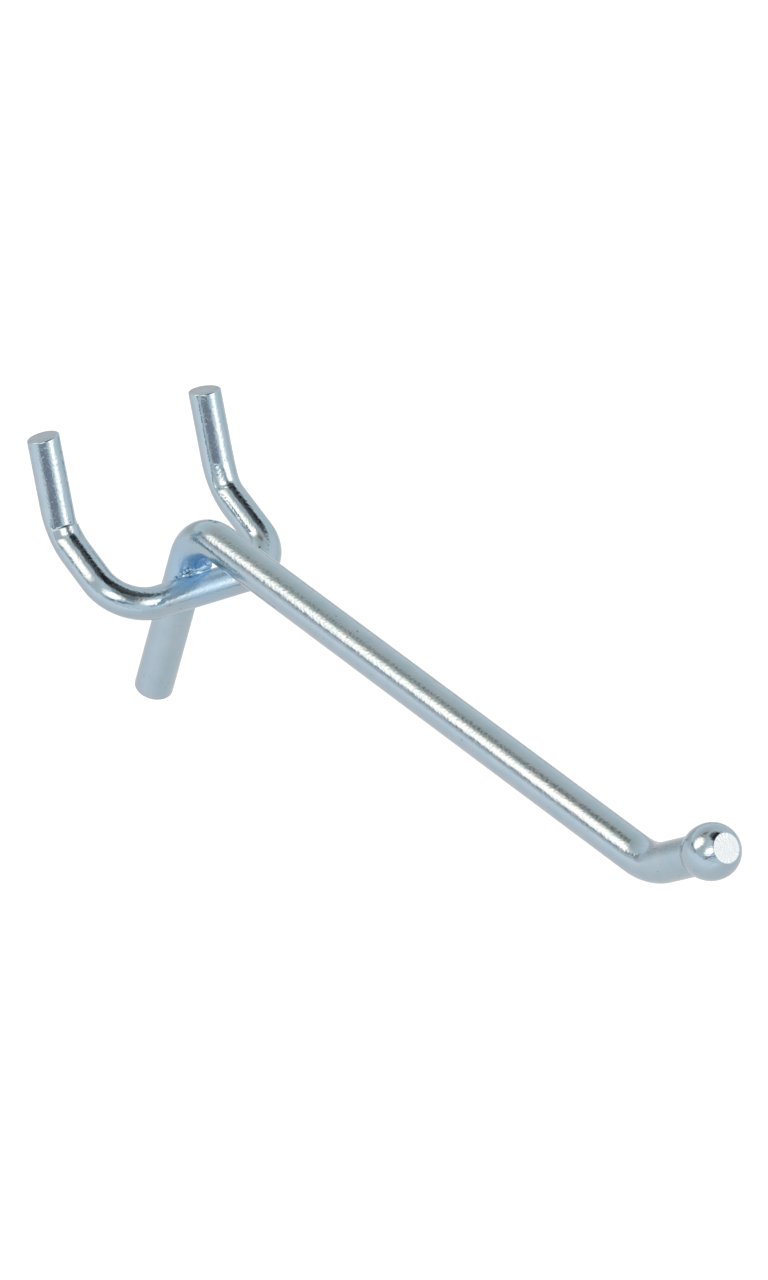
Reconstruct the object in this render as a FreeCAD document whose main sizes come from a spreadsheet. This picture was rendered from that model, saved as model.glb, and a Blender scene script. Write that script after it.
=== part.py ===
"""Pegboard hook: a hanger wire with two prongs, and an arm wire resistance-welded across its crossbar.

Millimetres. +Z is up, +Y goes into the board and the arm points along -Y. The origin lies on the front
face of the board, midway between the two holes, where the axes of the legs pass through that face.
"""
import FreeCAD, Part
import math
import os

import Sketcher

V = FreeCAD.Vector

# Driving dimensions: name, value in millimetres or degrees, what it measures
SIZES = (
    ("hole_pitch", 25.4, "one prong's axis to the other's, the pitch of the board's holes"),
    ("hanger_wire_diameter", 4.2, "wire of the crossbar, legs and tips"),
    ("corner_bend_radius", 5.8, "crossbar into leg, on the centre line"),
    ("leg_slope", 7.0, "rise of the legs as they go into the board, degrees"),
    ("leg_length", 14.2, "crossbar axis to the corner where the tip turns up"),
    ("tip_turn", 44.7, "leg into tip, degrees"),
    ("tip_bend_radius", 8.75, "leg into tip, on the centre line"),
    ("tip_length", 12.6, "corner of leg and tip to the cut end, on the centre line"),
    ("tip_cut_slant", 7.0, "shear cut of the tip away from square, degrees"),
    ("arm_wire_diameter", 5.0, "wire of the brace, arm and nose"),
    ("weld_set_down", 0.85, "depth to which the crossbar sank into the brace at the weld"),
    ("brace_drop", 20.15, "crossbar axis down to the brace's free end"),
    ("brace_rim_radius", 0.4, "rounded edge of the brace's free end"),
    ("arm_rise", 7.33, "crossbar axis up to the corner of brace and arm"),
    ("arm_bend_radius", 6.2, "brace into arm, on the centre line"),
    ("arm_slope", 12.45, "rise of the arm towards its front end, degrees"),
    ("arm_length", 91.9, "corner of brace and arm to corner of arm and nose"),
    ("nose_turn", 36.7, "arm into nose, degrees"),
    ("nose_bend_radius", 9.5, "arm into nose, on the centre line"),
    ("nose_length", 12.7, "corner of arm and nose to the ball's centre"),
    ("ball_diameter", 7.0, "cold-headed ball at the end of the nose"),
    ("ball_flat_diameter", 3.75, "flat left on the front of the ball"),
    ("neck_radius", 2.2, "hollow between nose and ball"),
    ("die_clearance", 0.05, "round the wire, in the die that presses the crease inside a bend"),
    ("die_wall", 1.5, "wall of that die, and its reach past the bend"),
    ("flash_width", 5.2, "weld flash, along the crossbar"),
    ("flash_height", 4.8, "weld flash, along the brace"),
    ("flash_bulge", 1.2, "weld flash, out from the middle of the set-down"),
)

# Places that several features share, as expressions on the sheet
CROSSBAR_Y = "(Sizes.weld_set_down - Sizes.arm_wire_diameter - Sizes.hanger_wire_diameter / 2)"
CROSSBAR_Z = f"({CROSSBAR_Y} * tan(Sizes.leg_slope))"
BRACE_Y = "(-Sizes.arm_wire_diameter / 2)"
ARM_CORNER_Z = f"({CROSSBAR_Z} + Sizes.arm_rise)"
NOSE_SLOPE = "(Sizes.arm_slope + Sizes.nose_turn)"
NECK_REACH = (
    "sqrt((Sizes.ball_diameter / 2 + Sizes.neck_radius)^2"
    " - (Sizes.arm_wire_diameter / 2 + Sizes.neck_radius)^2)"
)

doc = FreeCAD.newDocument("pegboard_hook")
sheet = doc.addObject("Spreadsheet::Sheet", "Sizes")
for row, (alias, value, note) in enumerate(SIZES, start=1):
    sheet.set(f"A{row}", alias)
    sheet.set(f"B{row}", str(value))
    sheet.setAlias(f"B{row}", alias)
    sheet.set(f"C{row}", note)
doc.recompute()


def number(expression):
    """The present value of an expression on the sheet."""
    return float(sheet.evalExpression(expression))


def heading_vector(degrees):
    return V(math.cos(math.radians(degrees)), math.sin(math.radians(degrees)), 0)


def origin_plane(body, role):
    """One of the body's own planes, as a support for a sketch or a mirror."""
    planes = {feature.Role: feature for feature in body.Origin.OriginFeatures}
    return (planes[role], [""])


def plane_sketch(body, name, plane, shift=("0", "0", "0"), turn="0"):
    """A sketch on one of the body's origin planes, shifted and turned within that plane."""
    sketch = body.newObject("Sketcher::SketchObject", name)
    sketch.AttachmentSupport = origin_plane(body, plane)
    sketch.MapMode = "FlatFace"
    sketch.AttachmentOffset = FreeCAD.Placement(V(0, 0, 0), FreeCAD.Rotation(V(0, 0, 1), number(turn)))
    for axis, distance in zip("xyz", shift):
        sketch.setExpression(f"AttachmentOffset.Base.{axis}", distance)
    sketch.setExpression("AttachmentOffset.Rotation.Angle", turn)
    return sketch


def bind(sketch, name, expression, kind, *elements):
    """Adds a dimension to the sketch and ties it to the sheet."""
    start_value = number(expression)
    if kind == "Angle":
        start_value = math.radians(start_value)
    index = sketch.addConstraint(Sketcher.Constraint(kind, *elements, start_value))
    sketch.renameConstraint(index, name)
    sketch.setExpression(f"Constraints.{name}", expression)


def bent_path(body, name, plane, start, heading, runs, shift=("0", "0", "0")):
    """A wire's centre line in one plane: straight runs, each with the turn that follows it.

    A run is (length from corner to corner, turn in degrees, bend radius). A turn with radius "0" is a
    sharp corner, and a last run with turn "0" ends the line.
    """
    sketch = plane_sketch(body, name, plane, shift)
    here = V(number(start[0]), number(start[1]), 0)
    trim_before = "0"
    before = None
    for index, (length, turn, radius) in enumerate(runs):
        trim_after = f"({radius} * tan(abs({turn}) / 2))"
        straight = f"({length}) - {trim_before} - {trim_after}"
        ahead = heading_vector(number(heading))
        there = here + ahead * number(straight)
        line = sketch.addGeometry(Part.LineSegment(here, there))
        if before is None:
            bind(sketch, "start_across", start[0], "DistanceX", -1, 1, line, 1)
            bind(sketch, "start_up", start[1], "DistanceY", -1, 1, line, 1)
        else:
            joined_by = "Tangent" if trim_before != "0" else "Coincident"
            sketch.addConstraint(Sketcher.Constraint(joined_by, *before, line, 1))
        bind(sketch, f"heading_{index}", heading, "Angle", line)
        bind(sketch, f"straight_{index}", straight, "Distance", line)
        here = there
        before = (line, 2)
        trim_before = "0"
        if radius != "0":
            turn_now = number(turn)
            side = math.copysign(90, turn_now)
            centre = here + heading_vector(number(heading) + side) * number(radius)
            angles = [number(heading) - side, number(heading) - side + turn_now]
            circle = Part.Circle(centre, V(0, 0, 1), number(radius))
            arc = sketch.addGeometry(
                Part.ArcOfCircle(circle, math.radians(min(angles)), math.radians(max(angles)))
            )
            near, far = (1, 2) if turn_now > 0 else (2, 1)
            sketch.addConstraint(Sketcher.Constraint("Tangent", *before, arc, near))
            bind(sketch, f"bend_{index}", radius, "Radius", arc)
            here = centre + heading_vector(number(heading) - side + turn_now) * number(radius)
            before = (arc, far)
            trim_before = trim_after
            if index == len(runs) - 1:
                bind(sketch, "last_turn", f"abs({turn})", "Angle", arc)
        heading = f"({heading} + {turn})"
    return sketch


def wire_section(body, name, path, diameters):
    """Circles on the plane across the start of a path: one for a wire, two for a sleeve."""
    sketch = body.newObject("Sketcher::SketchObject", name)
    sketch.AttachmentSupport = (path, ["Edge1"])
    sketch.MapMode = "NormalToEdge"
    for index, diameter in enumerate(diameters):
        circle = sketch.addGeometry(Part.Circle(V(0, 0, 0), V(0, 0, 1), number(diameter) / 2))
        sketch.addConstraint(Sketcher.Constraint("Coincident", circle, 3, -1, 1))
        bind(sketch, f"diameter_{index}", diameter, "Diameter", circle)
    return sketch


def pipe(body, name, path, diameters, kind="PartDesign::AdditivePipe"):
    """A wire, or the sleeve of a die, swept along its path; sharp corners of the path are mitred."""
    section = wire_section(body, f"{name}_section", path, diameters)
    doc.recompute()
    feature = body.newObject(kind, name)
    feature.Profile = section
    feature.Spine = path
    feature.Transition = "Right corner"
    doc.recompute()
    return feature


def press_crease(body, name, corner, heading, bend, wire_diameter, shift=("0", "0", "0")):
    """Trims the inside of a bend back to the two straight runs, which then meet in a sharp crease.

    The bend is (turn in degrees, bend radius) in the body's YZ plane. What is cut away is the metal
    inside the wall of a mitred die that fits round both runs.
    """
    turn, bend_radius = bend
    reach = f"({bend_radius} * tan(abs({turn}) / 2) + Sizes.die_wall)"
    start = (f"{corner[0]} - {reach} * cos({heading})", f"{corner[1]} - {reach} * sin({heading})")
    runs = ((reach, turn, "0"), (reach, "0", "0"))
    path = bent_path(body, f"{name}_path", "YZ_Plane", start, heading, runs, shift)
    bore = f"{wire_diameter} + 2 * Sizes.die_clearance"
    outside = f"{bore} + 2 * Sizes.die_wall"
    return pipe(body, name, path, (bore, outside), "PartDesign::SubtractivePipe")


# Hanger wire, drawn flat with its crossbar through the origin and its legs along +Y, then tilted
def make_hanger_wire():
    body = doc.addObject("PartDesign::Body", "hanger_wire")
    body.Label = "hanger_wire"
    wire = "Sizes.hanger_wire_diameter"
    prong = ("0", "0", "Sizes.hole_pitch / 2")

    runs = (("Sizes.hole_pitch / 2", "90", "Sizes.corner_bend_radius"),)
    crossbar_path = bent_path(body, "crossbar_path", "XY_Plane", ("0", "0"), "0", runs)
    crossbar = pipe(body, "crossbar", crossbar_path, (wire,))

    cut_allowance = wire
    runs = (
        ("Sizes.leg_length - Sizes.corner_bend_radius", "Sizes.tip_turn", "Sizes.tip_bend_radius"),
        (f"Sizes.tip_length + {cut_allowance}", "0", "0"),
    )
    leg_start = ("Sizes.corner_bend_radius", "0")
    prong_path = bent_path(body, "prong_path", "YZ_Plane", leg_start, "0", runs, prong)
    prong_pipe = pipe(body, "prong", prong_path, (wire,))

    tip_corner = ("Sizes.leg_length", "0")
    tip_bend = ("Sizes.tip_turn", "Sizes.tip_bend_radius")
    crease = press_crease(body, "tip_crease", tip_corner, "0", tip_bend, wire, prong)

    mirrored = body.newObject("PartDesign::Mirrored", "other_prong")
    mirrored.Originals = [crossbar, prong_pipe, crease]
    mirrored.MirrorPlane = origin_plane(body, "YZ_Plane")
    body.Tip = mirrored
    doc.recompute()

    # The shear's blade: a block in front of the cut face, across both tips
    tip_end = (
        "Sizes.leg_length + Sizes.tip_length * cos(Sizes.tip_turn)",
        "Sizes.tip_length * sin(Sizes.tip_turn)",
    )
    cut_heading = "Sizes.tip_turn + Sizes.tip_cut_slant"
    blade_depth = f"2 * ({cut_allowance} + {wire})"
    blade_height = f"3 * {wire}"
    blade = plane_sketch(body, "tip_blade", "YZ_Plane", (*tip_end, "0"), cut_heading)
    depth, half_height = number(blade_depth), number(blade_height) / 2
    corners = [V(0, -half_height), V(depth, -half_height), V(depth, half_height), V(0, half_height)]
    for here, there in zip(corners, corners[1:] + corners[:1]):
        blade.addGeometry(Part.LineSegment(here, there))
    for side in range(4):
        blade.addConstraint(Sketcher.Constraint("Coincident", side, 2, (side + 1) % 4, 1))
        blade.addConstraint(Sketcher.Constraint("Horizontal" if side % 2 == 0 else "Vertical", side))
    blade.addConstraint(Sketcher.Constraint("Symmetric", 3, 2, 3, 1, -1, 1))
    bind(blade, "depth", blade_depth, "Distance", 0)
    bind(blade, "height", blade_height, "Distance", 1)
    doc.recompute()
    cut = body.newObject("PartDesign::Pocket", "tip_cut")
    cut.Profile = blade
    cut.SideType = "Symmetric"
    cut.setExpression("Length", f"2 * (Sizes.hole_pitch + {wire})")
    doc.recompute()

    body.Placement = FreeCAD.Placement(V(0, 0, 0), FreeCAD.Rotation(V(1, 0, 0), number("Sizes.leg_slope")))
    body.setExpression("Placement.Base.y", CROSSBAR_Y)
    body.setExpression("Placement.Base.z", CROSSBAR_Z)
    body.setExpression("Placement.Rotation.Angle", "Sizes.leg_slope")
    return body


def add_ball(body):
    """The cold-headed end: the hollow of the neck, the ball and the flat on its front, as one turned form."""
    centre = (
        f"{BRACE_Y} - Sizes.arm_length * cos(Sizes.arm_slope) - Sizes.nose_length * cos({NOSE_SLOPE})",
        f"{ARM_CORNER_Z} + Sizes.arm_length * sin(Sizes.arm_slope) + Sizes.nose_length * sin({NOSE_SLOPE})",
    )
    profile = plane_sketch(body, "ball_profile", "YZ_Plane", (*centre, "0"), f"180 - {NOSE_SLOPE}")
    wire_radius = number("Sizes.arm_wire_diameter / 2")
    neck_radius = number("Sizes.neck_radius")
    ball_radius = number("Sizes.ball_diameter / 2")
    flat_radius = number("Sizes.ball_flat_diameter / 2")
    neck_x = -number(NECK_REACH)
    flat_x = math.sqrt(ball_radius**2 - flat_radius**2)
    neck_centre = V(neck_x, wire_radius + neck_radius)
    meeting = math.atan2(neck_centre.y, neck_centre.x)

    root = profile.addGeometry(Part.LineSegment(V(neck_x, 0), V(neck_x, wire_radius)))
    neck_circle = Part.Circle(neck_centre, V(0, 0, 1), neck_radius)
    neck = profile.addGeometry(Part.ArcOfCircle(neck_circle, -math.pi / 2, meeting - math.pi))
    ball_circle = Part.Circle(V(0, 0), V(0, 0, 1), ball_radius)
    ball = profile.addGeometry(
        Part.ArcOfCircle(ball_circle, math.atan2(flat_radius, flat_x), meeting)
    )
    flat = profile.addGeometry(Part.LineSegment(V(flat_x, flat_radius), V(flat_x, 0)))
    axis = profile.addGeometry(Part.LineSegment(V(flat_x, 0), V(neck_x, 0)))

    profile.addConstraint(Sketcher.Constraint("Coincident", ball, 3, -1, 1))
    profile.addConstraint(Sketcher.Constraint("Coincident", root, 2, neck, 1))
    profile.addConstraint(Sketcher.Constraint("Vertical", neck, 3, neck, 1))
    profile.addConstraint(Sketcher.Constraint("Tangent", neck, 2, ball, 2))
    profile.addConstraint(Sketcher.Constraint("Coincident", ball, 1, flat, 1))
    profile.addConstraint(Sketcher.Constraint("Coincident", flat, 2, axis, 1))
    profile.addConstraint(Sketcher.Constraint("Coincident", axis, 2, root, 1))
    profile.addConstraint(Sketcher.Constraint("Vertical", root))
    profile.addConstraint(Sketcher.Constraint("Vertical", flat))
    profile.addConstraint(Sketcher.Constraint("PointOnObject", root, 1, -1))
    profile.addConstraint(Sketcher.Constraint("PointOnObject", flat, 2, -1))
    bind(profile, "ball_radius", "Sizes.ball_diameter / 2", "Radius", ball)
    bind(profile, "neck_radius", "Sizes.neck_radius", "Radius", neck)
    bind(profile, "wire_radius", "Sizes.arm_wire_diameter / 2", "Distance", root)
    bind(profile, "flat_radius", "Sizes.ball_flat_diameter / 2", "Distance", flat)
    doc.recompute()

    turned = body.newObject("PartDesign::Revolution", "ball")
    turned.Profile = profile
    turned.ReferenceAxis = (profile, ["H_Axis"])
    turned.Angle = 360
    doc.recompute()
    return turned


# Arm wire, drawn where it stands in the plane midway between the prongs
def make_arm_wire():
    body = doc.addObject("PartDesign::Body", "arm_wire")
    body.Label = "arm_wire"
    wire = "Sizes.arm_wire_diameter"
    foot_z = f"{CROSSBAR_Z} - Sizes.brace_drop"

    runs = (
        ("Sizes.brace_drop + Sizes.arm_rise", "90 - Sizes.arm_slope", "Sizes.arm_bend_radius"),
        ("Sizes.arm_length", "-Sizes.nose_turn", "Sizes.nose_bend_radius"),
        (f"Sizes.nose_length - {NECK_REACH}", "0", "0"),
    )
    arm_path = bent_path(body, "arm_path", "YZ_Plane", (BRACE_Y, foot_z), "90", runs)
    pipe(body, "arm", arm_path, (wire,))

    nose_corner = (
        f"{BRACE_Y} - Sizes.arm_length * cos(Sizes.arm_slope)",
        f"{ARM_CORNER_Z} + Sizes.arm_length * sin(Sizes.arm_slope)",
    )
    nose_bend = ("(-Sizes.nose_turn)", "Sizes.nose_bend_radius")
    press_crease(body, "nose_crease", nose_corner, "(180 - Sizes.arm_slope)", nose_bend, wire)
    ball = add_ball(body)

    lowest_edge = min(enumerate(ball.Shape.Edges, start=1), key=lambda pair: pair[1].BoundBox.ZMax)
    rim = body.newObject("PartDesign::Fillet", "brace_rim")
    rim.Base = (ball, [f"Edge{lowest_edge[0]}"])
    rim.setExpression("Radius", "Sizes.brace_rim_radius")
    doc.recompute()

    # Metal squeezed out of the weld, a lens about the middle of the set-down
    flash = body.newObject("PartDesign::AdditiveEllipsoid", "weld_flash")
    flash.setExpression("Radius1", "Sizes.flash_height / 2")
    flash.setExpression("Radius2", "Sizes.flash_width / 2")
    flash.setExpression("Radius3", "Sizes.flash_bulge")
    flash.setExpression("Placement.Base.y", f"Sizes.weld_set_down / 2 - {wire}")
    flash.setExpression("Placement.Base.z", CROSSBAR_Z)
    doc.recompute()

    # The saddle that the crossbar pressed into the brace
    crossbar = plane_sketch(body, "crossbar_section", "YZ_Plane", (CROSSBAR_Y, CROSSBAR_Z, "0"))
    circle = crossbar.addGeometry(
        Part.Circle(V(0, 0, 0), V(0, 0, 1), number("Sizes.hanger_wire_diameter / 2"))
    )
    crossbar.addConstraint(Sketcher.Constraint("Coincident", circle, 3, -1, 1))
    bind(crossbar, "diameter", "Sizes.hanger_wire_diameter", "Diameter", circle)
    doc.recompute()
    saddle = body.newObject("PartDesign::Pocket", "saddle")
    saddle.Profile = crossbar
    saddle.SideType = "Symmetric"
    saddle.setExpression("Length", f"{wire} + Sizes.flash_width")
    doc.recompute()
    return body


sub_parts = (make_hanger_wire(), make_arm_wire())
doc.recompute()

for item in doc.Objects:
    if {"Invalid", "Error"} & set(item.State):
        raise RuntimeError(f"{item.Name} failed: {item.State}")
for item in sub_parts:
    if item.Shape.isNull() or not item.Shape.isValid() or len(item.Shape.Solids) != 1:
        raise RuntimeError(f"{item.Label} isn't one valid solid")

os.makedirs("parts", exist_ok=True)
for item in sub_parts:
    item.Shape.exportStep(f"parts/{item.Label}.step")
    print(item.Label, f"{item.Shape.Volume:.1f} mm3", item.Shape.BoundBox)
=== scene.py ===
"""Looks of a zinc-plated pegboard hook: a hanger wire and an arm wire, bent and welded together."""

import math

import bmesh
import bpy
from mathutils import Matrix, Vector, noise


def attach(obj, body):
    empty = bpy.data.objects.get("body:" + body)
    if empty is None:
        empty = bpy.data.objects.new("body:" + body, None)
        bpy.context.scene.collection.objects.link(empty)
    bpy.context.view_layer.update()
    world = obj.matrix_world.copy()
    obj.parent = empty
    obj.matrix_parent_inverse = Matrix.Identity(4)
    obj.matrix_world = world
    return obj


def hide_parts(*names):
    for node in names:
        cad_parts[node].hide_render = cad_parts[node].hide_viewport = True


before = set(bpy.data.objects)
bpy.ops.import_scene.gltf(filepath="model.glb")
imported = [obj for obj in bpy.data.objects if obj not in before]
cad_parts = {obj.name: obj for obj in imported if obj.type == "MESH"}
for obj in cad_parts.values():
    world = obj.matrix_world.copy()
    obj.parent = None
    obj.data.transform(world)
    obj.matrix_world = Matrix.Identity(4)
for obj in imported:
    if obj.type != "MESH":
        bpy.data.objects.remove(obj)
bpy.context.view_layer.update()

MM = 0.001
RIGHT_ANGLE = 90.0
ACROSS = Vector((1.0, 0.0, 0.0))
UP = Vector((0.0, 0.0, 1.0))
FRONT = Vector((0.0, -1.0, 0.0))
TO_BACK = 1.0
TO_FRONT = -1.0

# Sizes in millimetres and degrees, as the solids have them
HANGER_RADIUS = 2.1
PRONG_X = 12.7
CROSSBAR_Y = -6.25
CROSSBAR_Z = -0.767
CORNER_BEND_RADIUS = 5.8
LEG_SLOPE = 7.0
LEG_LENGTH = 14.2
TIP_TURN = 44.7
TIP_BEND_RADIUS = 8.75
TIP_LENGTH = 12.6
ARM_RADIUS = 2.5
BRACE_Y = -2.5
BRACE_BOTTOM_Z = -20.917
ARM_CORNER_Z = 6.563
ARM_BEND_RADIUS = 6.2
ARM_SLOPE = 12.45
ARM_LENGTH = 91.9
NOSE_TURN = 36.7
NOSE_BEND_RADIUS = 9.5
NOSE_LENGTH = 12.7
BALL_FLAT_RADIUS = 1.875
NECK_REACH = 3.4
FLASH_WIDTH = 5.2
FLASH_HEIGHT = 4.8
FLASH_BULGE = 1.2
FLASH_Y = -4.575

# The ball is a hair smaller than its solid, so that it stays inside it
BALL_RADIUS = 3.499

# What the sheared prong ends and the headed ball add to the solids, in millimetres
LEFT_SHEAR_NORMAL = Vector((-0.152, 0.530, 0.834)).normalized()
RIGHT_SHEAR_NORMAL = Vector((-0.038, 0.502, 0.864)).normalized()
RIGHT_TIP_EXTRA = 0.1
SHEAR_RIM = 0.22
BRACE_RIM = 0.4
FLAT_RIM = 0.16
SHOULDER_FULLNESS = 2.3
NECK_SOFTNESS = 1.2

# An end face has a narrow strip round its edge and a wider one inside that, so that its shading stays flat
END_EDGE_STRIP = 0.12
END_INNER_STRIP = 0.5

# Each pressed bend, in millimetres. The collar leaves the first run and meets the second run at these
# distances from the corner. Its width and the softness of its two edges go from -X to +X.
# A lip is a second slope that leaves the first run at a distance, climbs by some degrees, and breaks off
# at a distance along the second run.
# A fold is the run that it stands on, its distance from the collar, its height, and its middle and half
# length across the wire.
# Beyond the round side, a share of the radius towards +X, the first run keeps part of the former's round.
LEFT_CREASE = {
    "collar": (0.80, 0.25),
    "width": (1.0, 1.0),
    "softness": ((0.30, 0.30), (0.08, 0.08)),
    "lip": (1.30, 30.0, 0.30),
    "folds": (),
    "round_side": 0.45,
}
RIGHT_CREASE = {
    "collar": (0.60, 1.65),
    "width": (1.0, 1.0),
    "softness": ((0.35, 0.35), (0.50, 0.50)),
    "lip": None,
    "folds": ((0, 0.22, 0.07, -1.1, 0.5),),
    "round_side": 1.0,
}
NOSE_CREASE = {
    "collar": (1.8, 0.7),
    "width": (0.65, 1.1),
    "softness": ((0.90, 1.6), (0.20, 3.4)),
    "lip": None,
    "folds": (),
    "round_side": 1.0,
}
FOLD_WIDTH = 0.12

# The lip's edges are this soft. It breaks off later at the wire's sides, by the side rise. It may stand
# out of the bend by the bulge, but a point that lies deeper under it than the reach is not lifted.
LIP_SOFTNESS = 0.14
LIP_SIDE_RISE = 0.25
LIP_BULGE = 0.40
LIP_REACH = 0.7

# Where the press and the lip start, and over what span they become full, as shares of the radius
PRESS_FADE = (0.15, 0.4)
LIP_FADE = (0.35, 0.5)

# How much of the former's round is kept, the span over which that sets in at the round side, as a share of
# the radius, and where along the second run, and over what span, it ends, in millimetres
ROUND_KEPT = 0.7
ROUND_SIDE_SPAN = 0.4
SECOND_RUN_FADE = (-0.5, 1.0)

# The press is worked out again from where the last trial left the wire
PRESS_TRIALS = 4

# The beads that the weld threw up on the near side: place and radius, in millimetres
WELD_BEADS = (
    ((-2.08, -4.02, 0.48), 0.30),
    ((-1.92, -4.42, 1.02), 0.26),
    ((-1.72, -4.58, 1.46), 0.24),
    ((-1.38, -4.72, 1.66), 0.24),
    ((-1.00, -4.84, 1.60), 0.26),
    ((-0.92, -5.00, 1.24), 0.26),
    ((-1.28, -5.02, 1.02), 0.24),
    ((-1.66, -4.84, 0.86), 0.26),
    ((-2.42, -3.55, -0.55), 0.28),
    ((1.58, -4.56, 1.70), 0.46),
    ((1.20, -4.82, 1.95), 0.36),
)
WELD_MIDDLE = Vector((-0.4, -5.2, 1.6))
WELD_RIDGE_MIDDLE = Vector((0.62, -4.82, 1.38))
WELD_RIDGE_HALVES = Vector((1.38, 0.42, 0.52))

# How uneven the weld metal froze, and the seeds that make each drop its own
FLASH_UNEVENNESS = 0.10
RIDGE_UNEVENNESS = 0.06
BEAD_UNEVENNESS = 0.12
FLASH_SEED = 4.0
RIDGE_SEED = 9.0
FIRST_BEAD_SEED = 11.0
LUMP_SCALE = 2.3
PIMPLE_SCALE = 6.1
PIMPLE_SHARE = 0.5
LUMP_SHIFT = (1.0, 7.0)
PIMPLE_SHIFT = (2.0, 5.0)

# How finely the wires are divided
RING_SIDES = 64
CREASE_STEPS = 96
BEND_STEPS = 28
TIP_STEPS = 6
LEG_STEPS = 4
CROSSBAR_STEPS = 8
BRACE_STEPS = 8
WELD_STEPS = 24
ARM_STEPS = 40
NOSE_STEPS = 4
SHOULDER_STEPS = 44
BALL_STEPS = 26
RIM_STEPS = 5
DROP_SIDES = 48
DROP_RINGS = 28
WELD_MARGIN = 0.4
MERGE_DISTANCE = 0.0005

# What each vertex of a wire carries for the plate's finish
STRAIGHT_WIRE = "straight_wire"
STRUCK_FLAT = "struck_flat"

# The plate's colours
PALE_TINT = (0.495, 0.605, 0.700)
BLUE_TINT = (0.430, 0.578, 0.668)
STREAK_COLOUR = (0.43, 0.55, 0.64)
SPECK_COLOUR = (0.16, 0.17, 0.18)
# Painted reflection: the blue that the metal shows of itself in the corners round the weld, painted into its
# colour
PAINTED_WELD_REFLECTION = (0.41, 0.62, 0.82)
STRUCK_COLOUR = (0.58, 0.68, 0.76)

# Noises along the drawn wire: scale per millimetre round the wire and along it, and detail
LINE_NOISE = ((7.0, 7.0, 0.06), 2.0)
STREAK_NOISE = ((2.4, 2.4, 0.035), 3.0)
GRAIN_NOISE = ((3.4, 3.4, 2.2), 1.0)
SPECK_NOISE = ((2.6, 2.6, 1.8), 1.0)
MOTTLE_SCALE = 420.0
MOTTLE_DETAIL = 4.0
MOTTLE_RANGE = (0.3, 0.7)

# Gradings: the two levels of what is read, in metres for a distance from the weld, and what they become
STREAK_SHARE = (0.52, 0.72, 0.0, 0.5)
SPECK_SHARE = (0.755, 0.80, 0.0, 0.6)
# The painted blue reflection is full close to the weld and gone further out
PAINTED_WELD_REFLECTION_SHARE = (0.0020, 0.0065, 0.9, 0.0)
PLATE_ROUGHNESS = (*MOTTLE_RANGE, 0.07, 0.12)
WELD_ROUGHNESS = (0.0020, 0.0080, 0.18, 0.0)
STRUCK_ROUGHNESS = (0.0, 1.0, 0.0, 0.14)

# How deep the drawing lines and the grain are, in metres
LINE_DEPTH = 0.000002
GRAIN_DEPTH = 0.000022

# The camera, fitted to the photograph: place in millimetres, and the picture's own directions
CAMERA_PLACE = Vector((-620.87, -631.45, 719.83))
PICTURE_RIGHT = Vector((0.7914, -0.5710, 0.2184))
PICTURE_DOWN = Vector((-0.2448, -0.6233, -0.7427))
FOCAL_LENGTH = 253.125
SENSOR = 36.0

# The studio: each patch is azimuth, elevation and roll in degrees, then half width, half height and softness.
# A gap dims the walls by its colour, and a soft box adds its colour to them.
STUDIO_WALLS = (0.860, 0.894, 0.900)
STUDIO_GAPS = (
    ((46.6, 76.5, 36.0, 0.420, 0.380, 0.22), (0.17, 0.16, 0.16)),
    ((251.5, 70.0, -103.0, 0.477, 0.307, 0.60), (0.30, 0.30, 0.28)),
    ((124.5, 36.2, -17.1, 0.838, 0.435, 0.95), (0.65, 0.59, 0.52)),
    ((222.0, 17.5, 28.0, 0.480, 0.085, 0.30), (0.38, 0.36, 0.41)),
    ((59.8, 71.4, 49.5, 0.389, 0.084, 0.20), (0.20, 0.19, 0.21)),
    ((100.7, 41.8, 64.6, 0.093, 0.225, 0.30), (0.52, 0.45, 0.42)),
    ((139.0, -2.0, 0.0, 0.330, 0.085, 0.40), (0.40, 0.40, 0.42)),
)
SOFT_BOXES = (
    ((141.0, 24.3, 104.2, 0.358, 0.284, 0.38), (1.75, 1.28, 0.98)),
    ((206.3, 36.5, 58.2, 0.370, 0.231, 0.30), (1.35, 0.95, 0.68)),
    ((291.0, 41.0, -12.0, 0.340, 0.295, 0.42), (1.50, 1.00, 0.72)),
)
BACKGROUND_WHITE = (1.0, 1.0, 1.0)

# The floor, in metres. What the metal sees of it goes from bright to dim along X, and falls off towards
# the back. Each of these two gives two places, and the share that is shown there.
FLOOR_SIZE = 8.0
FLOOR_DIVISIONS = 4
FLOOR_Z = -0.6
FLOOR_PAPER = (0.62, 0.62, 0.62)
FLOOR_GLOW = (0.95, 0.98, 1.04)
FLOOR_SHOWN_TO_CAMERA = 0.62
FLOOR_ALONG_X = (-1.4, 0.1, 0.50, 0.27)
FLOOR_TO_BACK = (1.0, 2.4, 1.0, 0.4)

# The colour sockets of a Mix node, which share their names with its other sockets
MIX_FIRST = 6
MIX_SECOND = 7
MIX_RESULT = 2
NODE_SPACING = 220


def upward_vector(degrees, along):
    """A unit vector that climbs by an angle while it goes along +Y or -Y."""
    angle = math.radians(degrees)
    return Vector((0.0, along * math.cos(angle), math.sin(angle)))


def bend_trim(degrees, radius):
    """How much of each straight run a bend takes up."""
    return radius * math.tan(math.radians(degrees / 2))


def between(pair, share):
    """A value part of the way from the first of a pair to the second."""
    first, second = pair
    return first + (second - first) * share


def soft_rise(value, start, span):
    """Goes from 0 to 1 without corners, as a value goes from its start over a span."""
    share = min(max((value - start) / span, 0.0), 1.0)
    return share * share * (3.0 - 2.0 * share)


def soft_lower(first, second, softness):
    """The lower of two heights, rounded off where they are close."""
    blend = max(softness - abs(first - second), 0.0) / softness
    return min(first, second) - blend * blend * softness / 4


def soft_higher(first, second, softness):
    """The higher of two heights, filled in where they are close."""
    return -soft_lower(-first, -second, softness)


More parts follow.
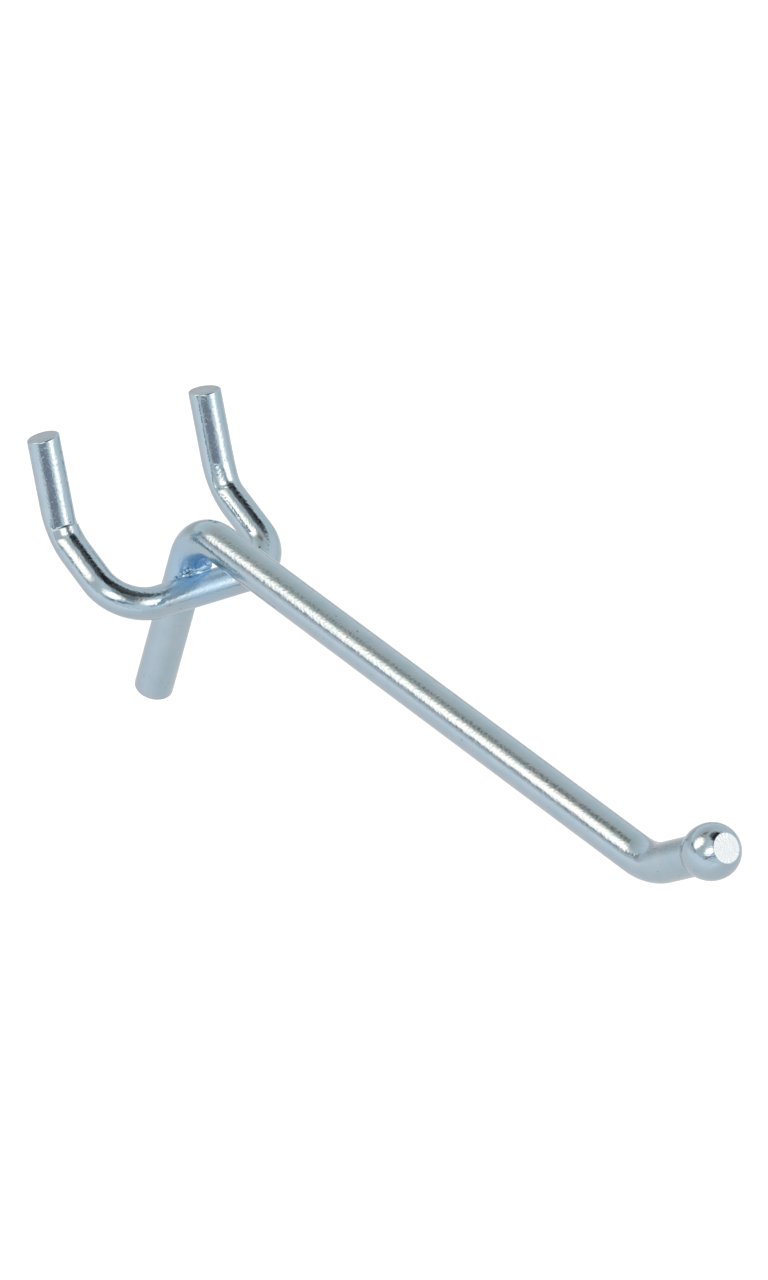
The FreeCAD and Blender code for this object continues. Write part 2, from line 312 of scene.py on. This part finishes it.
def ring_of(edges):
    """The vertices of a ring of edges, in the order of the edges."""
    return list(dict.fromkeys(vert for edge in edges for vert in edge.verts))


def place_object(shape, name):
    """Makes a mesh object at the origin from a finished shape."""
    data = bpy.data.meshes.new(name)
    shape.to_mesh(data)
    shape.free()
    made = bpy.data.objects.new(name, data)
    bpy.context.scene.collection.objects.link(made)
    return made


class DrawnWire:
    """A round wire grown ring by ring. Each vertex keeps the place it had while the wire was straight."""

    def __init__(self, radius, start, heading):
        self.mesh = bmesh.new()
        self.straight = self.mesh.verts.layers.float_vector.new(STRAIGHT_WIRE)
        self.struck = self.mesh.verts.layers.float.new(STRUCK_FLAT)
        self.radius = radius
        self.centre = start.copy()
        self.heading = heading.copy()
        self.length = 0.0
        ring = bmesh.ops.create_circle(self.mesh, segments=RING_SIDES, radius=radius)["verts"]
        for vert in ring:
            vert[self.straight] = vert.co
        place = Matrix((ACROSS, heading.cross(ACROSS), heading)).transposed().to_4x4()
        place.translation = start
        bmesh.ops.transform(self.mesh, matrix=place, verts=ring)
        self.edges = list(self.mesh.edges)
        self.first_edges = list(self.edges)

    def grow(self, edges):
        """Extrudes a ring of edges in place, and gives the new ring's vertices and edges."""
        new = bmesh.ops.extrude_edge_only(self.mesh, edges=edges)["geom"]
        ring = [part for part in new if isinstance(part, bmesh.types.BMVert)]
        fresh = set(ring)
        new_edges = [part for part in new if isinstance(part, bmesh.types.BMEdge)]
        rim = [edge for edge in new_edges if fresh.issuperset(edge.verts)]
        return ring, rim

    def settle(self, ring, distance):
        """Writes how far along the straight wire a new ring lies."""
        self.length += distance
        for vert in ring:
            place = vert[self.straight]
            vert[self.straight] = Vector((place.x, place.y, self.length))

    def widen(self, ring, centre, factor):
        """Scales a ring about its centre."""
        about_centre = Matrix.Translation(-centre)
        bmesh.ops.scale(self.mesh, verts=ring, vec=Vector.Fill(3, factor), space=about_centre)

    def run(self, distance, steps):
        """Draws the wire straight on."""
        stride = distance / steps
        for _ in range(steps):
            ring, self.edges = self.grow(self.edges)
            bmesh.ops.translate(self.mesh, verts=ring, vec=self.heading * stride)
            self.settle(ring, stride)
        self.centre = self.centre + self.heading * distance

    def bend(self, degrees, radius, towards, steps):
        """Turns the wire round a former on its inner side, and gives the vertices of the bend."""
        pivot = self.centre + towards * radius
        axis = self.heading.cross(towards)
        turn = Matrix.Rotation(math.radians(degrees) / steps, 3, axis)
        bent = []
        for _ in range(steps):
            ring, self.edges = self.grow(self.edges)
            bmesh.ops.rotate(self.mesh, verts=ring, cent=pivot, matrix=turn)
            self.settle(ring, radius * math.radians(degrees) / steps)
            bent.extend(ring)
        whole_turn = Matrix.Rotation(math.radians(degrees), 3, axis)
        self.centre = pivot + whole_turn @ (self.centre - pivot)
        self.heading = whole_turn @ self.heading
        return bent

    def swell(self, advance, factor):
        """Grows one ring further along the wire, wider or narrower than the last."""
        ring, self.edges = self.grow(self.edges)
        bmesh.ops.translate(self.mesh, verts=ring, vec=self.heading * advance)
        self.centre = self.centre + self.heading * advance
        self.widen(ring, self.centre, factor)
        self.settle(ring, abs(advance))

    def close_end(self, edges, normal, rim, lean=0.0, struck=0.0):
        """Closes a ring by a flat end face whose rim is rounded over, from a side that leans in by an angle.
        A struck face gets its own finish."""
        ring = ring_of(edges)
        centre = sum((vert.co for vert in ring), Vector()) / len(ring)
        radius = self.radius
        if edges is self.edges:
            radius = sum((vert.co - centre).length for vert in ring) / len(ring)
        inset = 0.0
        depth = 0.0
        for step in range(1, RIM_STEPS + 1):
            angle = lean + (math.pi / 2 - lean) * step / RIM_STEPS
            ring, edges = self.grow(edges)
            new_inset = rim * (math.cos(lean) - math.cos(angle))
            new_depth = rim * (math.sin(angle) - math.sin(lean))
            advance = normal * (new_depth - depth)
            self.widen(ring, centre, (radius - new_inset) / (radius - inset))
            bmesh.ops.translate(self.mesh, verts=ring, vec=advance)
            centre = centre + advance
            inset = new_inset
            depth = new_depth
        face = bmesh.ops.contextual_create(self.mesh, geom=edges)["faces"]
        bmesh.ops.inset_region(self.mesh, faces=face, thickness=END_EDGE_STRIP, depth=0.0)
        for vert in face[0].verts:
            vert[self.struck] = struck
        bmesh.ops.inset_region(self.mesh, faces=face, thickness=END_INNER_STRIP, depth=0.0)

    def finish(self, name):
        """Finishes the wire as a smooth object in metres, at the origin."""
        bmesh.ops.remove_doubles(self.mesh, verts=self.mesh.verts, dist=MERGE_DISTANCE)
        bmesh.ops.recalc_face_normals(self.mesh, faces=self.mesh.faces)
        bmesh.ops.scale(self.mesh, verts=self.mesh.verts, vec=Vector.Fill(3, MM))
        for face in self.mesh.faces:
            face.smooth = True
        return place_object(self.mesh, name)


def press_crease(bent, radius, corner, first_run, second_run, crease):
    """Presses the inner side of a bend in the YZ plane into a crease, and leaves a collar between the runs.
    The press fades out towards the wire's sides."""
    runs = (first_run, second_run)
    turn = math.pi - first_run.angle(second_run)
    lean = math.cos(turn / 2)
    inner_first = (second_run - first_run * first_run.dot(second_run)).normalized()
    inner_second = (first_run - second_run * first_run.dot(second_run)).normalized()
    inwards = (inner_first + inner_second).normalized()
    collar_start = first_run * crease["collar"][0]
    collar_end = second_run * crease["collar"][1]
    collar_run = (collar_end - collar_start).normalized()
    inner_collar = (inwards - collar_run * inwards.dot(collar_run)).normalized()
    if crease["lip"]:
        lip_start, lip_climb, lip_end = crease["lip"]
        lip_turn = Matrix.Rotation(math.radians(lip_climb), 3, inner_first.cross(inner_second))
        inner_lip = lip_turn @ inner_first

    for vert in bent:
        across = vert.co.x - corner.x
        share = 0.5 + 0.5 * across / radius
        reach = math.sqrt(max(radius * radius - across * across, 0.0))
        fullness = reach / radius
        width = between(crease["width"], share) * reach / radius
        first_softness, second_softness = [between(pair, share) for pair in crease["softness"]]
        place = vert.co - corner - inwards * (reach / lean)
        pressed = 0.0
        for _ in range(PRESS_TRIALS):
            here = place - inwards * pressed
            over_first = here.dot(inner_first)
            over_collar = (here - collar_start * width).dot(inner_collar)
            over_second = here.dot(inner_second)
            over = soft_lower(over_first, over_collar, first_softness)
            if crease["lip"]:
                lip_width = math.sqrt(fullness)
                over_lip = (here - first_run * (lip_start * lip_width)).dot(inner_lip)
                past_lip = here.dot(second_run) - lip_end - LIP_SIDE_RISE * (1.0 - fullness)
                over = soft_lower(over, max(over_lip, past_lip), LIP_SOFTNESS)
            over = soft_lower(over, over_second, second_softness)
            for run, distance, height, middle, half in crease["folds"]:
                along = here.dot(runs[run]) - crease["collar"][run] * width
                bell = ((along - distance) / FOLD_WIDTH) ** 2 + ((across - middle) / half) ** 2
                over -= height * math.exp(-bell)
            lifted = 0.0
            if crease["lip"] and over >= -LIP_REACH:
                lifted = LIP_BULGE * soft_rise(fullness, *LIP_FADE)
            pressed = max(pressed + over, -lifted)
        pressed *= soft_rise(fullness, *PRESS_FADE)
        round_share = soft_rise(across / radius, crease["round_side"], ROUND_SIDE_SPAN)
        first_run_share = 1.0 - soft_rise(place.dot(second_run), *SECOND_RUN_FADE)
        pressed *= 1.0 - ROUND_KEPT * round_share * first_run_share
        vert.co = vert.co - inwards * pressed


def shear_end(edges, place, heading, normal):
    """Slides the last ring along the wire onto the slanted plane where the shear cut it."""
    for vert in ring_of(edges):
        vert.co = vert.co + heading * ((place - vert.co).dot(normal) / heading.dot(normal))


def make_hanger():
    """The hanger: one wire from prong tip to prong tip, with the crossbar between."""
    leg = upward_vector(LEG_SLOPE, TO_BACK)
    tip = upward_vector(LEG_SLOPE + TIP_TURN, TO_BACK)
    leg_inner = upward_vector(LEG_SLOPE + RIGHT_ANGLE, TO_BACK)
    tip_inner = upward_vector(LEG_SLOPE + TIP_TURN + RIGHT_ANGLE, TO_BACK)
    crossbar = Vector((0.0, CROSSBAR_Y, CROSSBAR_Z))
    left_corner = Vector((-PRONG_X, 0.0, 0.0)) + crossbar + leg * LEG_LENGTH
    right_corner = Vector((PRONG_X, 0.0, 0.0)) + crossbar + leg * LEG_LENGTH
    left_end = left_corner + tip * TIP_LENGTH - LEFT_SHEAR_NORMAL * SHEAR_RIM
    right_end = right_corner + tip * (TIP_LENGTH + RIGHT_TIP_EXTRA) - RIGHT_SHEAR_NORMAL * SHEAR_RIM
    tip_trim = bend_trim(TIP_TURN, TIP_BEND_RADIUS)
    tip_run = TIP_LENGTH - tip_trim
    leg_run = LEG_LENGTH - tip_trim - CORNER_BEND_RADIUS
    crossbar_run = 2.0 * (PRONG_X - CORNER_BEND_RADIUS)

    wire = DrawnWire(HANGER_RADIUS, left_corner + tip * TIP_LENGTH, -tip)
    wire.run(tip_run, TIP_STEPS)
    left_kink = wire.bend(TIP_TURN, TIP_BEND_RADIUS, tip_inner, CREASE_STEPS)
    wire.run(leg_run, LEG_STEPS)
    wire.bend(RIGHT_ANGLE, CORNER_BEND_RADIUS, ACROSS, BEND_STEPS)
    wire.run(crossbar_run, CROSSBAR_STEPS)
    wire.bend(RIGHT_ANGLE, CORNER_BEND_RADIUS, leg, BEND_STEPS)
    wire.run(leg_run, LEG_STEPS)
    right_kink = wire.bend(TIP_TURN, TIP_BEND_RADIUS, leg_inner, CREASE_STEPS)
    wire.run(tip_run, TIP_STEPS)
    shear_end(wire.first_edges, left_end, tip, LEFT_SHEAR_NORMAL)
    shear_end(wire.edges, right_end, tip, RIGHT_SHEAR_NORMAL)
    press_crease(left_kink, HANGER_RADIUS, left_corner, -leg, tip, LEFT_CREASE)
    press_crease(right_kink, HANGER_RADIUS, right_corner, -leg, tip, RIGHT_CREASE)
    wire.close_end(wire.first_edges, LEFT_SHEAR_NORMAL, SHEAR_RIM)
    wire.close_end(wire.edges, RIGHT_SHEAR_NORMAL, SHEAR_RIM)
    return wire.finish("hanger_wire_plated")


def head_width(reach):
    """Half the width of the headed end, at a distance before or beyond the middle of the ball."""
    if reach >= 0.0:
        return math.sqrt(BALL_RADIUS ** 2 - reach ** 2)
    fall = (-reach / BALL_RADIUS) ** SHOULDER_FULLNESS
    shoulder = BALL_RADIUS * (1.0 - fall) ** (1.0 / SHOULDER_FULLNESS)
    return soft_higher(shoulder, ARM_RADIUS, NECK_SOFTNESS)


def flat_angle():
    """How far up the ball the rim of its flat begins, in radians above the ball's widest ring."""
    flat_reach = math.sqrt(BALL_RADIUS ** 2 - BALL_FLAT_RADIUS ** 2)
    return math.asin((flat_reach - FLAT_RIM) / (BALL_RADIUS - FLAT_RIM))


def head_ball(wire):
    """Heads the end of the wire into a ball: a tight neck, a full shoulder, and the ball up to its flat."""
    reaches = []
    for step in range(1, SHOULDER_STEPS + 1):
        reaches.append(-NECK_REACH * (1.0 - step / SHOULDER_STEPS))
    for step in range(1, BALL_STEPS + 1):
        reaches.append(BALL_RADIUS * math.sin(flat_angle() * step / BALL_STEPS))
    reach = -NECK_REACH
    width = ARM_RADIUS
    for new_reach in reaches:
        new_width = head_width(new_reach)
        wire.swell(new_reach - reach, new_width / width)
        reach = new_reach
        width = new_width


def seat_on_crossbar(wire):
    """Presses the front of the brace onto the crossbar, where the weld has set it down."""
    for vert in wire.mesh.verts:
        behind = vert.co.y - CROSSBAR_Y
        above = vert.co.z - CROSSBAR_Z
        if behind * behind + above * above < HANGER_RADIUS ** 2 and abs(vert.co.x) < ARM_RADIUS:
            vert.co.y = CROSSBAR_Y + math.sqrt(HANGER_RADIUS ** 2 - above * above)


def add_drop(wire, middle, halves, unevenness, seed):
    """Adds a drop of frozen weld metal: a ball made uneven and drawn out to its half sizes."""
    ball = bmesh.ops.create_uvsphere(wire.mesh, u_segments=DROP_SIDES, v_segments=DROP_RINGS, radius=1.0)
    made = ball["verts"]
    lump_shift = Vector((seed, *LUMP_SHIFT))
    pimple_shift = Vector((PIMPLE_SHIFT[0], seed, PIMPLE_SHIFT[1]))
    for vert in made:
        vert[wire.straight] = vert.co * ARM_RADIUS
        lump = noise.noise(vert.co * LUMP_SCALE + lump_shift)
        pimple = noise.noise(vert.co * PIMPLE_SCALE + pimple_shift)
        vert.co = vert.co * (1.0 + unevenness * lump + PIMPLE_SHARE * unevenness * pimple)
    bmesh.ops.scale(wire.mesh, verts=made, vec=halves)
    bmesh.ops.translate(wire.mesh, verts=made, vec=middle)


def add_weld_flash(wire):
    """The metal that the weld squeezed out between the brace and the crossbar, uneven as it froze."""
    flash_middle = Vector((0.0, FLASH_Y, CROSSBAR_Z))
    flash_halves = Vector((FLASH_WIDTH / 2, FLASH_BULGE, FLASH_HEIGHT / 2))
    add_drop(wire, flash_middle, flash_halves, FLASH_UNEVENNESS, FLASH_SEED)
    add_drop(wire, WELD_RIDGE_MIDDLE, WELD_RIDGE_HALVES, RIDGE_UNEVENNESS, RIDGE_SEED)
    for number, (middle, radius) in enumerate(WELD_BEADS):
        add_drop(wire, Vector(middle), Vector.Fill(3, radius), BEAD_UNEVENNESS, FIRST_BEAD_SEED + number)


def make_arm():
    """The arm: the brace on the board, the bend over the crossbar, the sloping arm, the nose and its ball."""
    arm = upward_vector(ARM_SLOPE, TO_FRONT)
    nose = upward_vector(ARM_SLOPE + NOSE_TURN, TO_FRONT)
    arm_inner = upward_vector(ARM_SLOPE + RIGHT_ANGLE, TO_FRONT)
    arm_turn = RIGHT_ANGLE - ARM_SLOPE
    arm_trim = bend_trim(arm_turn, ARM_BEND_RADIUS)
    nose_trim = bend_trim(NOSE_TURN, NOSE_BEND_RADIUS)
    nose_corner = Vector((0.0, BRACE_Y, ARM_CORNER_Z)) + arm * ARM_LENGTH
    foot_z = BRACE_BOTTOM_Z + BRACE_RIM
    weld_low_z = CROSSBAR_Z - HANGER_RADIUS - WELD_MARGIN
    weld_high_z = ARM_CORNER_Z - arm_trim

    wire = DrawnWire(ARM_RADIUS, Vector((0.0, BRACE_Y, foot_z)), UP)
    wire.run(weld_low_z - foot_z, BRACE_STEPS)
    wire.run(weld_high_z - weld_low_z, WELD_STEPS)
    wire.bend(arm_turn, ARM_BEND_RADIUS, FRONT, BEND_STEPS)
    wire.run(ARM_LENGTH - arm_trim - nose_trim, ARM_STEPS)
    nose_kink = wire.bend(NOSE_TURN, NOSE_BEND_RADIUS, arm_inner, CREASE_STEPS)
    wire.run(NOSE_LENGTH - nose_trim - NECK_REACH, NOSE_STEPS)
    head_ball(wire)
    press_crease(nose_kink, ARM_RADIUS, nose_corner, -arm, nose, NOSE_CREASE)
    wire.close_end(wire.first_edges, -UP, BRACE_RIM)
    wire.close_end(wire.edges, nose, FLAT_RIM, lean=flat_angle(), struck=1.0)
    seat_on_crossbar(wire)
    add_weld_flash(wire)
    return wire.finish("arm_wire_plated")


def opaque(colour):
    """A colour with nothing seen through it."""
    return (*colour, 1.0)


def cleared_tree(holder):
    """Turns on the nodes of a material or a world, and gives its emptied node tree."""
    holder.use_nodes = True
    holder.node_tree.nodes.clear()
    return holder.node_tree


def add_node(tree, kind, **settings):
    """Adds a node beside the last one and sets its plain properties."""
    node = tree.nodes.new(kind)
    node.location = (NODE_SPACING * len(tree.nodes), 0)
    for name, value in settings.items():
        setattr(node, name, value)
    return node


def combined(tree, operation, first, second):
    """Combines a value with another value or a plain number, and gives the result."""
    node = add_node(tree, "ShaderNodeMath", operation=operation)
    tree.links.new(first, node.inputs[0])
    if isinstance(second, float):
        node.inputs[1].default_value = second
    else:
        tree.links.new(second, node.inputs[1])
    return node.outputs["Value"]


def graded(tree, value, low, high, first, last):
    """Grades a value between two levels into a range, and gives the result."""
    grade = add_node(tree, "ShaderNodeMapRange", interpolation_type="SMOOTHSTEP")
    grade.inputs["From Min"].default_value = low
    grade.inputs["From Max"].default_value = high
    grade.inputs["To Min"].default_value = first
    grade.inputs["To Max"].default_value = last
    tree.links.new(value, grade.inputs["Value"])
    return grade.outputs["Result"]


def mix_colour(tree, kind, share, first, second):
    """Mixes a plain colour into another by a share, and gives the new colour."""
    mixed = add_node(tree, "ShaderNodeMix", data_type="RGBA", blend_type=kind)
    tree.links.new(share, mixed.inputs["Factor"])
    tree.links.new(first, mixed.inputs[MIX_FIRST])
    mixed.inputs[MIX_SECOND].default_value = opaque(second)
    return mixed.outputs[MIX_RESULT]


def drawn_noise(tree, along, scale, detail):
    """A noise that follows the drawn wire, with its own scale round the wire and along it."""
    stretch = add_node(tree, "ShaderNodeMapping")
    stretch.inputs["Scale"].default_value = scale
    tree.links.new(along.outputs["Vector"], stretch.inputs["Vector"])
    drawn = add_node(tree, "ShaderNodeTexNoise")
    drawn.inputs["Scale"].default_value = 1.0
    drawn.inputs["Detail"].default_value = detail
    tree.links.new(stretch.outputs["Vector"], drawn.inputs["Vector"])
    return drawn.outputs["Fac"]


def raised(tree, height, depth):
    """Raises the surface by a height times a depth, and gives the bump."""
    bump = add_node(tree, "ShaderNodeBump")
    bump.inputs["Strength"].default_value = 1.0
    bump.inputs["Distance"].default_value = depth
    tree.links.new(height, bump.inputs["Height"])
    return bump


def zinc_plate():
    """Bright zinc plate on drawn wire: blue-grey metal with fine grain, faint lines along the wire, a few
    dark specks, a painted blue reflection of the metal in itself that gathers round the weld, and a paler,
    duller face on the struck ball."""
    material = bpy.data.materials.new("zinc_plate_on_drawn_wire")
    tree = cleared_tree(material)
    output = add_node(tree, "ShaderNodeOutputMaterial")
    metal = add_node(tree, "ShaderNodeBsdfPrincipled")
    metal.inputs["Metallic"].default_value = 1.0
    tree.links.new(metal.outputs["BSDF"], output.inputs["Surface"])

    # What the finish is read from
    place = add_node(tree, "ShaderNodeTexCoord")
    along = add_node(tree, "ShaderNodeAttribute", attribute_name=STRAIGHT_WIRE)
    struck = add_node(tree, "ShaderNodeAttribute", attribute_name=STRUCK_FLAT)
    lines = drawn_noise(tree, along, *LINE_NOISE)
    streaks = drawn_noise(tree, along, *STREAK_NOISE)
    grain = drawn_noise(tree, along, *GRAIN_NOISE)
    specks = drawn_noise(tree, along, *SPECK_NOISE)
    mottle = add_node(tree, "ShaderNodeTexNoise")
    mottle.inputs["Scale"].default_value = MOTTLE_SCALE
    mottle.inputs["Detail"].default_value = MOTTLE_DETAIL
    tree.links.new(place.outputs["Object"], mottle.inputs["Vector"])
    from_weld = add_node(tree, "ShaderNodeVectorMath", operation="DISTANCE")
    from_weld.inputs[1].default_value = WELD_MIDDLE * MM
    tree.links.new(place.outputs["Object"], from_weld.inputs[0])

    # Colour
    tint = add_node(tree, "ShaderNodeValToRGB")
    for stop, position, colour in zip(tint.color_ramp.elements, MOTTLE_RANGE, (BLUE_TINT, PALE_TINT)):
        stop.position = position
        stop.color = opaque(colour)
    tree.links.new(mottle.outputs["Fac"], tint.inputs["Fac"])
    streaked = graded(tree, streaks, *STREAK_SHARE)
    speckled = graded(tree, specks, *SPECK_SHARE)
    # A painted blue reflection of the metal in itself, strongest near the weld
    painted_reflection_share = graded(tree, from_weld.outputs["Value"], *PAINTED_WELD_REFLECTION_SHARE)
    colour = mix_colour(tree, "MIX", streaked, tint.outputs["Color"], STREAK_COLOUR)
    colour = mix_colour(tree, "MIX", speckled, colour, SPECK_COLOUR)
    colour = mix_colour(tree, "MIX", painted_reflection_share, colour, PAINTED_WELD_REFLECTION)
    colour = mix_colour(tree, "MIX", struck.outputs["Fac"], colour, STRUCK_COLOUR)
    tree.links.new(colour, metal.inputs["Base Color"])

    # Roughness
    plate_roughness = graded(tree, mottle.outputs["Fac"], *PLATE_ROUGHNESS)
    weld_roughness = graded(tree, from_weld.outputs["Value"], *WELD_ROUGHNESS)
    struck_roughness = graded(tree, struck.outputs["Fac"], *STRUCK_ROUGHNESS)
    roughness = combined(tree, "ADD", plate_roughness, weld_roughness)
    roughness = combined(tree, "ADD", roughness, struck_roughness)
    tree.links.new(roughness, metal.inputs["Roughness"])

    # Drawing lines with the grain on top
    line_bump = raised(tree, lines, LINE_DEPTH)
    grain_bump = raised(tree, grain, GRAIN_DEPTH)
    tree.links.new(line_bump.outputs["Normal"], grain_bump.inputs["Normal"])
    tree.links.new(grain_bump.outputs["Normal"], metal.inputs["Normal"])
    return material


def pale_floor_finish():
    """A pale floor that takes the hook's shadow, and is white to the camera and pale in the metal."""
    material = bpy.data.materials.new("pale_floor")
    tree = cleared_tree(material)
    output = add_node(tree, "ShaderNodeOutputMaterial")
    paper = add_node(tree, "ShaderNodeBsdfDiffuse")
    paper.inputs["Color"].default_value = opaque(FLOOR_PAPER)
    glow = add_node(tree, "ShaderNodeEmission")
    glow.inputs["Color"].default_value = opaque(FLOOR_GLOW)
    seen = add_node(tree, "ShaderNodeLightPath")
    spot = add_node(tree, "ShaderNodeTexCoord")
    split = add_node(tree, "ShaderNodeSeparateXYZ")
    tree.links.new(spot.outputs["Object"], split.inputs["Vector"])
    along_x = graded(tree, split.outputs["X"], *FLOOR_ALONG_X)
    to_back = graded(tree, split.outputs["Y"], *FLOOR_TO_BACK)
    shown_to_metal = combined(tree, "MULTIPLY", along_x, to_back)
    camera_level = combined(tree, "MULTIPLY", seen.outputs["Is Camera Ray"], FLOOR_SHOWN_TO_CAMERA)
    metal_level = combined(tree, "MULTIPLY", seen.outputs["Is Glossy Ray"], shown_to_metal)
    level = combined(tree, "MAXIMUM", camera_level, metal_level)
    tree.links.new(level, glow.inputs["Strength"])
    both = add_node(tree, "ShaderNodeAddShader")
    tree.links.new(paper.outputs["BSDF"], both.inputs[0])
    tree.links.new(glow.outputs["Emission"], both.inputs[1])
    tree.links.new(both.outputs["Shader"], output.inputs["Surface"])
    return material


def lay_floor():
    """A plain pale floor well below the hook."""
    shape = bmesh.new()
    bmesh.ops.create_grid(shape, x_segments=FLOOR_DIVISIONS, y_segments=FLOOR_DIVISIONS, size=FLOOR_SIZE)
    bmesh.ops.translate(shape, verts=shape.verts, vec=UP * FLOOR_Z)
    floor = place_object(shape, "floor")
    floor.data.materials.append(pale_floor_finish())


def studio_patch(tree, sky, patch):
    """A soft-edged oval of the studio round one direction, 1 inside and 0 outside."""
    azimuth, elevation, roll, half_width, half_height, softness = patch
    around = math.radians(azimuth)
    above = math.radians(elevation)
    level = Vector((-math.sin(around), math.cos(around), 0.0))
    outwards = Vector((math.cos(around), math.sin(around), 0.0))
    towards = outwards * math.cos(above) + UP * math.sin(above)
    facing = Matrix((level, towards.cross(level), towards)).transposed()
    facing = facing @ Matrix.Rotation(math.radians(roll), 3, "Z")
    turned = add_node(tree, "ShaderNodeMapping", vector_type="TEXTURE")
    turned.inputs["Rotation"].default_value = facing.to_euler()
    turned.inputs["Scale"].default_value = (half_width, half_height, 1.0)
    flat = add_node(tree, "ShaderNodeVectorMath", operation="MULTIPLY")
    flat.inputs[1].default_value = (1.0, 1.0, 0.0)
    far = add_node(tree, "ShaderNodeVectorMath", operation="LENGTH")
    tree.links.new(sky.outputs["Generated"], turned.inputs["Vector"])
    tree.links.new(turned.outputs["Vector"], flat.inputs[0])
    tree.links.new(flat.outputs["Vector"], far.inputs[0])
    return graded(tree, far.outputs["Value"], 1.0 - softness, 1.0 + softness, 1.0, 0.0)


def light_studio():
    """A white studio round the hook, with a dark ceiling and gaps, and three soft boxes."""
    world = bpy.data.worlds.new("white_studio")
    bpy.context.scene.world = world
    tree = cleared_tree(world)
    output = add_node(tree, "ShaderNodeOutputWorld")
    back = add_node(tree, "ShaderNodeBackground")
    tree.links.new(back.outputs["Background"], output.inputs["Surface"])
    sky = add_node(tree, "ShaderNodeTexCoord")
    walls = add_node(tree, "ShaderNodeRGB")
    walls.outputs["Color"].default_value = opaque(STUDIO_WALLS)
    light = walls.outputs["Color"]
    for patch, colour in STUDIO_GAPS:
        light = mix_colour(tree, "MULTIPLY", studio_patch(tree, sky, patch), light, colour)
    for patch, colour in SOFT_BOXES:
        light = mix_colour(tree, "ADD", studio_patch(tree, sky, patch), light, colour)
    seen = add_node(tree, "ShaderNodeLightPath")
    shown = mix_colour(tree, "MIX", seen.outputs["Is Camera Ray"], light, BACKGROUND_WHITE)
    tree.links.new(shown, back.inputs["Color"])


def set_camera():
    """The camera at the photograph's own angle."""
    right = PICTURE_RIGHT.normalized()
    up = (-PICTURE_DOWN + right * PICTURE_DOWN.dot(right)).normalized()
    back = right.cross(up)
    turn = Matrix((right, up, back)).transposed().to_4x4()
    data = bpy.data.cameras.new("photo_camera")
    data.sensor_fit = "VERTICAL"
    data.sensor_height = SENSOR
    data.lens = FOCAL_LENGTH
    camera = bpy.data.objects.new("photo_camera", data)
    camera.matrix_world = Matrix.Translation(CAMERA_PLACE * MM) @ turn
    bpy.context.scene.collection.objects.link(camera)
    bpy.context.scene.camera = camera


hanger = make_hanger()
arm = make_arm()
plate = zinc_plate()
for piece, node in ((hanger, "hanger_wire"), (arm, "arm_wire")):
    piece.data.materials.append(plate)
    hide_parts(node)
    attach(piece, "root")

lay_floor()
light_studio()
set_camera()
bpy.context.scene.view_settings.view_transform = "Standard"
